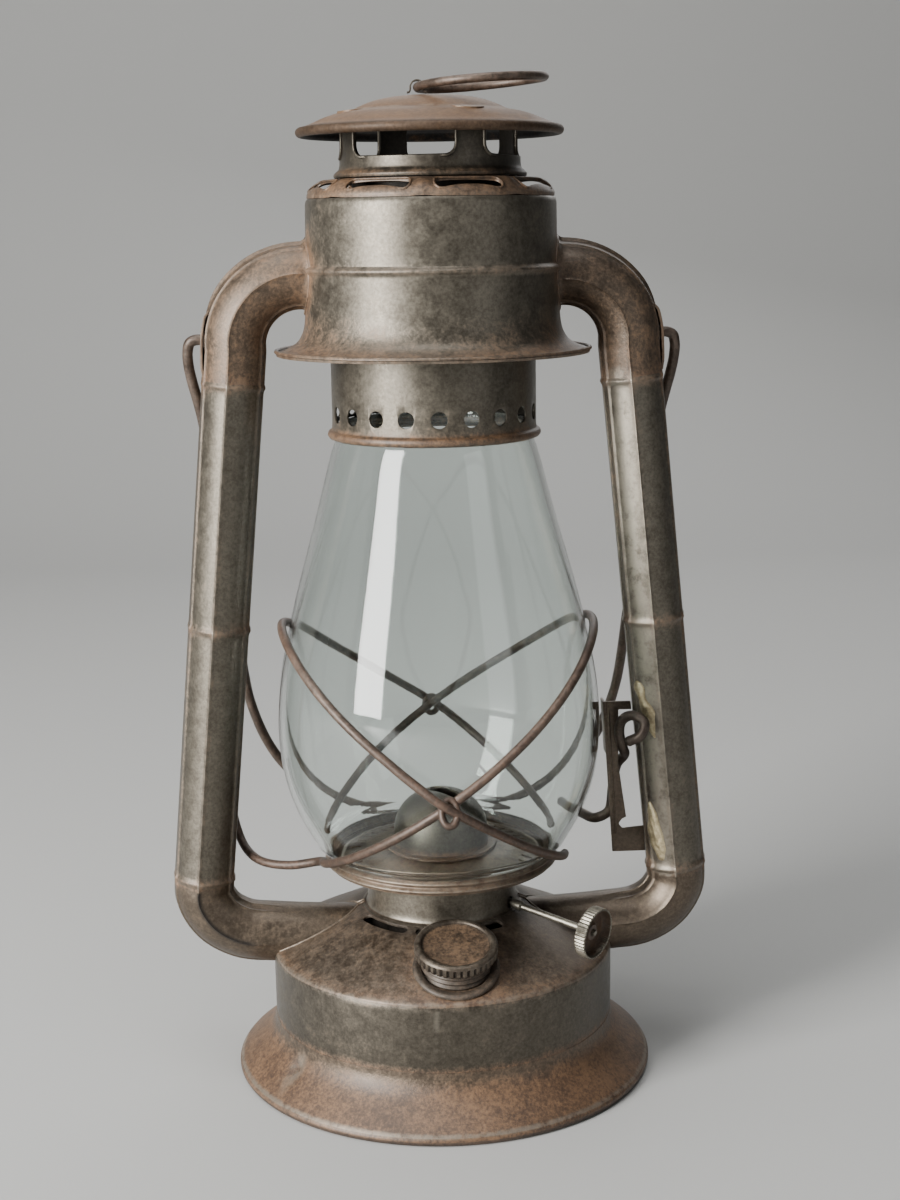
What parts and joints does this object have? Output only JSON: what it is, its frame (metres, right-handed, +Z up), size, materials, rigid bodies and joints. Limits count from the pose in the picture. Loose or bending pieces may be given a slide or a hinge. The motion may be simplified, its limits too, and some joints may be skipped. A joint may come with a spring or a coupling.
{
  "type": "kerosene lantern",
  "caption": "Cold-blast tubular kerosene lantern: flared fount base, two air tubes, vented hood, glass globe in a wire guard, wick burner, lift ring and bail.",
  "frame": {"origin": "on the floor, on the lantern's vertical axis", "axes": "+Z up; the filler cap faces -Y, and the side tubes stand along X"},
  "size_m": [0.169, 0.131, 0.3054],
  "materials": {
    "steel_patina": "aged bare steel, dark grey-brown patina, semi-dull",
    "rusty_steel": "aged steel, brown to orange rust bloom, dull",
    "canopy_rust": "tan matt rust",
    "rusty_wire": "rusty steel wire",
    "worn_zinc": "worn zinc plate",
    "inner_steel": "sooted steel",
    "globe_glass": "clear pressed glass with a faint green edge",
    "wick_cotton": "woven cotton, charred at the top",
    "gasket_cork": "pressed cork"
  },
  "bodies": {
    "frame": {"base_skirt": "rusty_steel", "fount_bottom": "inner_steel", "fount_wall": "steel_patina", "fount_top": "steel_patina", "air_pan": "inner_steel", "air_drum": "steel_patina", "filler_neck": "steel_patina", "right_lower_elbow": "rusty_steel", "right_tube": "steel_patina", "right_upper_elbow": "rusty_steel", "right_bail_ear": "rusty_steel", "left_lower_elbow": "rusty_steel", "left_tube": "steel_patina", "left_upper_elbow": "rusty_steel", "left_bail_ear": "rusty_steel", "hood": "steel_patina", "vent_ring": "rusty_steel", "lift_bracket": "rusty_steel", "burner_body": "inner_steel", "wick_tube": "inner_steel"},
    "cap_travel": {"filler_gasket": "gasket_cork"},
    "cap": {"filler_cap": "steel_patina"},
    "carriage": {"globe_plate": "rusty_steel", "burner_cone": "steel_patina", "globe": "globe_glass", "guard_wire_a": "rusty_wire", "guard_wire_b": "rusty_wire", "lift_rod": "rusty_wire"},
    "chimney": {"chimney_collar": "steel_patina", "flue": "inner_steel", "neck": "steel_patina", "canopy": "canopy_rust", "ring_eye": "steel_patina", "chimney_spring": "inner_steel"},
    "ring": {"lift_ring": "rusty_wire"},
    "bail": {"bail": "rusty_wire"},
    "wick": {"wick": "wick_cotton"},
    "wick_wheel": {"wick_shaft": "worn_zinc", "spur_wheel_near": "worn_zinc", "spur_wheel_far": "worn_zinc", "wick_knob": "worn_zinc"}
  },
  "joints": [
    {"name": "globe_lift", "type": "slide", "parent": "frame", "child": "carriage", "axis": [0, 0, 1], "range_m": [0, 0.011]},
    {"name": "chimney_lift", "type": "slide", "parent": "carriage", "child": "chimney", "axis": [0, 0, 1], "range_m": [0, 0.014], "stiffness_N_per_m": 150, "springref_m": -0.02, "deforming": ["chimney_spring"]},
    {"name": "ring_fold", "type": "hinge", "parent": "chimney", "child": "ring", "pos_m": [-0.0035, 0, 0.3016], "axis": [0, -1, 0], "range_deg": [0, 168]},
    {"name": "bail_swing", "type": "hinge", "parent": "frame", "child": "bail", "pos_m": [0, 0, 0.2295], "axis": [1, 0, 0], "range_deg": [0, 322]},
    {"name": "cap_rise", "type": "slide", "parent": "frame", "child": "cap_travel", "axis": [0, -0.2756, 0.9613], "range_m": [0, 0.0031]},
    {"name": "cap_turn", "type": "hinge", "parent": "cap_travel", "child": "cap", "pos_m": [0.002, -0.0389, 0.0456], "axis": [0, -0.2756, 0.9613], "range_deg": [0, 540]},
    {"name": "wick_turn", "type": "hinge", "parent": "frame", "child": "wick_wheel", "pos_m": [0.00321, 0.00383, 0.0564], "axis": [0.7617, -0.6391, -0.1063], "range_deg": [-46, 62]},
    {"name": "wick_slide", "type": "slide", "parent": "frame", "child": "wick", "axis": [0, 0, 1], "range_m": [-0.004, 0.003]}
  ],
  "couplings": [
    {"joint": "cap_rise", "follows": "cap_turn", "m_per_rad": 0.00031831},
    {"joint": "wick_slide", "follows": "wick_turn", "m_per_rad": -0.0036}
  ]
}
